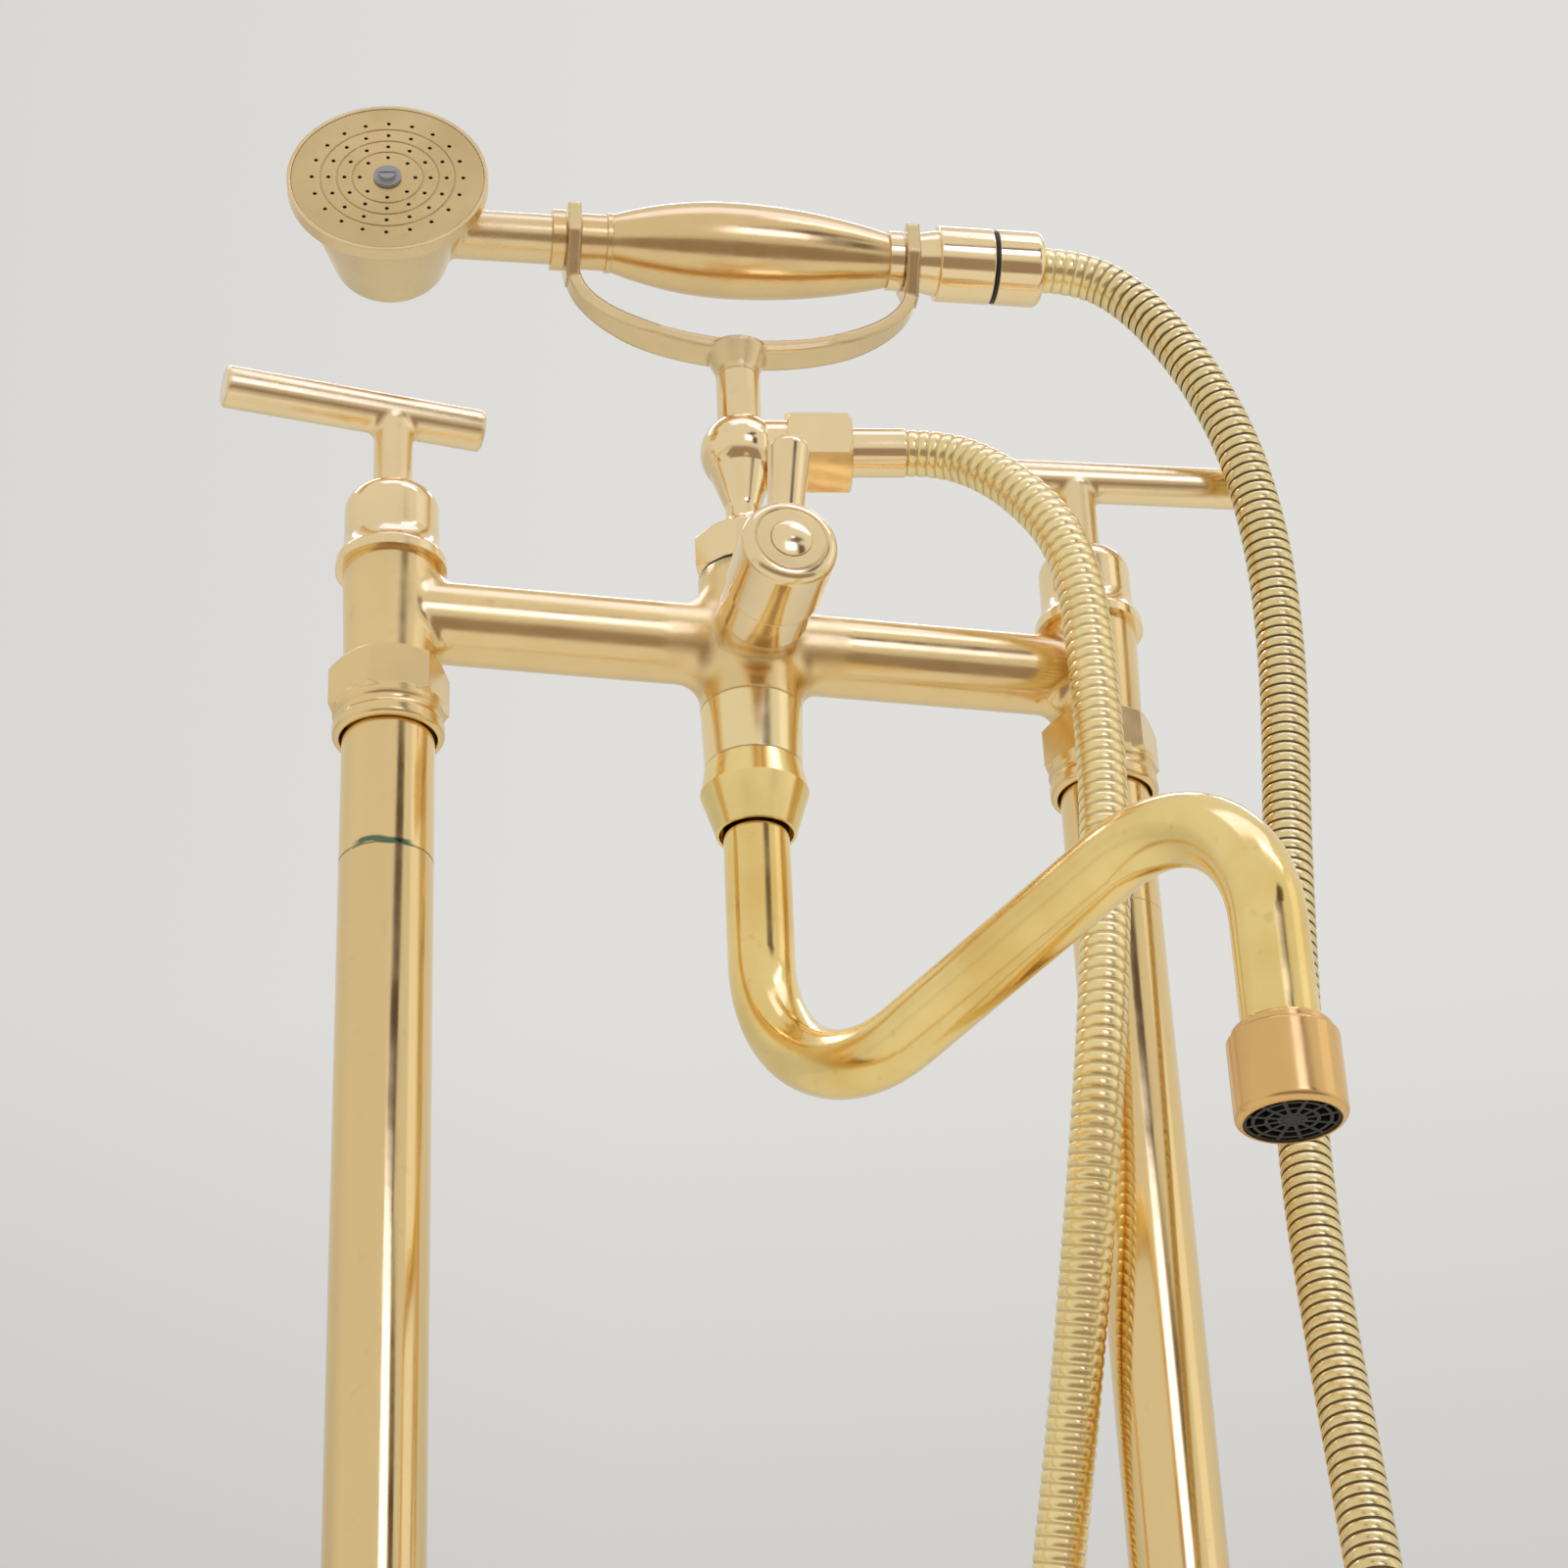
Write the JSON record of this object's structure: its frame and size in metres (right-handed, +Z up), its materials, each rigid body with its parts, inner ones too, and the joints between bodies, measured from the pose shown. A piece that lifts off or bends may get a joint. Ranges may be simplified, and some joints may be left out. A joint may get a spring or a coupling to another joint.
{
  "type": "bath shower mixer",
  "caption": "Brass bath shower mixer on two floor legs, with turning handles, lever diverter, swivel spout, cradle, hand shower and hose.",
  "frame": {"origin": "on the finished floor, midway between the two legs' axes", "axes": "+X along the bridge to the user's right, -Y towards the user, +Z up"},
  "size_m": [0.3103, 0.2068, 1.0221],
  "materials": {
    "cast_brass": "polished cast brass",
    "turned_brass": "polished turned brass",
    "hose_casing": "banded metal hose",
    "hose_lining": "smooth hose lining",
    "seal_rubber": "black seal rubber",
    "valve_ceramic": "lapped ceramic disc",
    "screw_steel": "stainless screw",
    "grey_plastic": "dark grey plastic"
  },
  "bodies": {
    "root": {"bell_cap_left": "cast_brass", "bell_cap_right": "cast_brass", "bridge_body": "cast_brass", "cartridge_left": "turned_brass", "cartridge_right": "turned_brass", "cradle_fork": "cast_brass", "diverter_bonnet": "cast_brass", "fixed_discs": "valve_ceramic", "floor_plate_left": "cast_brass", "floor_plate_right": "cast_brass", "foot_seals": "seal_rubber", "hose": "hose_casing", "hose_ferrule": "turned_brass", "hose_liner": "hose_lining", "hose_outlet_nut": "turned_brass", "hose_outlet_washer": "seal_rubber", "leg_screws": "screw_steel", "leg_tube_left": "turned_brass", "leg_tube_right": "turned_brass", "riser_column": "cast_brass", "riser_nut": "turned_brass", "riser_seals": "seal_rubber", "spout_nut": "turned_brass", "union_gaskets": "seal_rubber", "union_nut_left": "turned_brass", "union_nut_right": "turned_brass", "union_tail_left": "turned_brass", "union_tail_right": "turned_brass", "valve_seals": "seal_rubber"},
    "left_handle": {"rotating_disc_left": "valve_ceramic", "spindle_left": "turned_brass", "handle_left": "turned_brass", "handle_screw_left": "screw_steel"},
    "right_handle": {"rotating_disc_right": "valve_ceramic", "spindle_right": "turned_brass", "handle_right": "turned_brass", "handle_screw_right": "screw_steel"},
    "diverter": {"diverter_rotor": "turned_brass", "diverter_seals": "seal_rubber", "diverter_knob": "cast_brass", "diverter_lever": "turned_brass", "knob_screw": "screw_steel", "knob_cap": "cast_brass"},
    "spout": {"spout_tube": "turned_brass", "spout_seals": "seal_rubber", "spout_slip_ring": "grey_plastic", "aerator_housing": "turned_brass", "aerator_insert": "grey_plastic"},
    "hose_end": {"swivel_sleeve": "turned_brass", "swivel_seal": "seal_rubber"},
    "handset": {"handset_nut": "turned_brass", "handset_washer": "seal_rubber", "head_shell": "cast_brass", "rose_plate": "turned_brass", "rose_gasket": "seal_rubber", "rose_washer": "grey_plastic", "rose_screw": "turned_brass", "grip": "turned_brass", "handset_tube": "turned_brass", "handset_tail": "turned_brass"}
  },
  "joints": [
    {"name": "left_handle_turn", "type": "hinge", "parent": "root", "child": "left_handle", "pos_m": [-0.1, 0, 0.85], "axis": [0, 0, 1], "range_deg": [-90, 0]},
    {"name": "right_handle_turn", "type": "hinge", "parent": "root", "child": "right_handle", "pos_m": [0.1, 0, 0.85], "axis": [0, 0, 1], "range_deg": [0, 90]},
    {"name": "diverter_turn", "type": "hinge", "parent": "root", "child": "diverter", "pos_m": [0, 0, 0.85], "axis": [0, 1, 0], "range_deg": [0, 90]},
    {"name": "spout_swivel", "type": "hinge", "parent": "root", "child": "spout", "pos_m": [0, 0, 0.85], "axis": [0, 0, 1], "range_deg": [-83, 27]},
    {"name": "handset_lift", "type": "slide", "parent": "root", "child": "hose_end", "axis": [0, 0, 1], "range_m": [0, 0.05], "deforming": ["hose", "hose_liner"]},
    {"name": "handset_roll", "type": "hinge", "parent": "hose_end", "child": "handset", "pos_m": [0, 0, 0.9913], "axis": [0.9976, -0.0698, 0], "continuous": true}
  ]
}
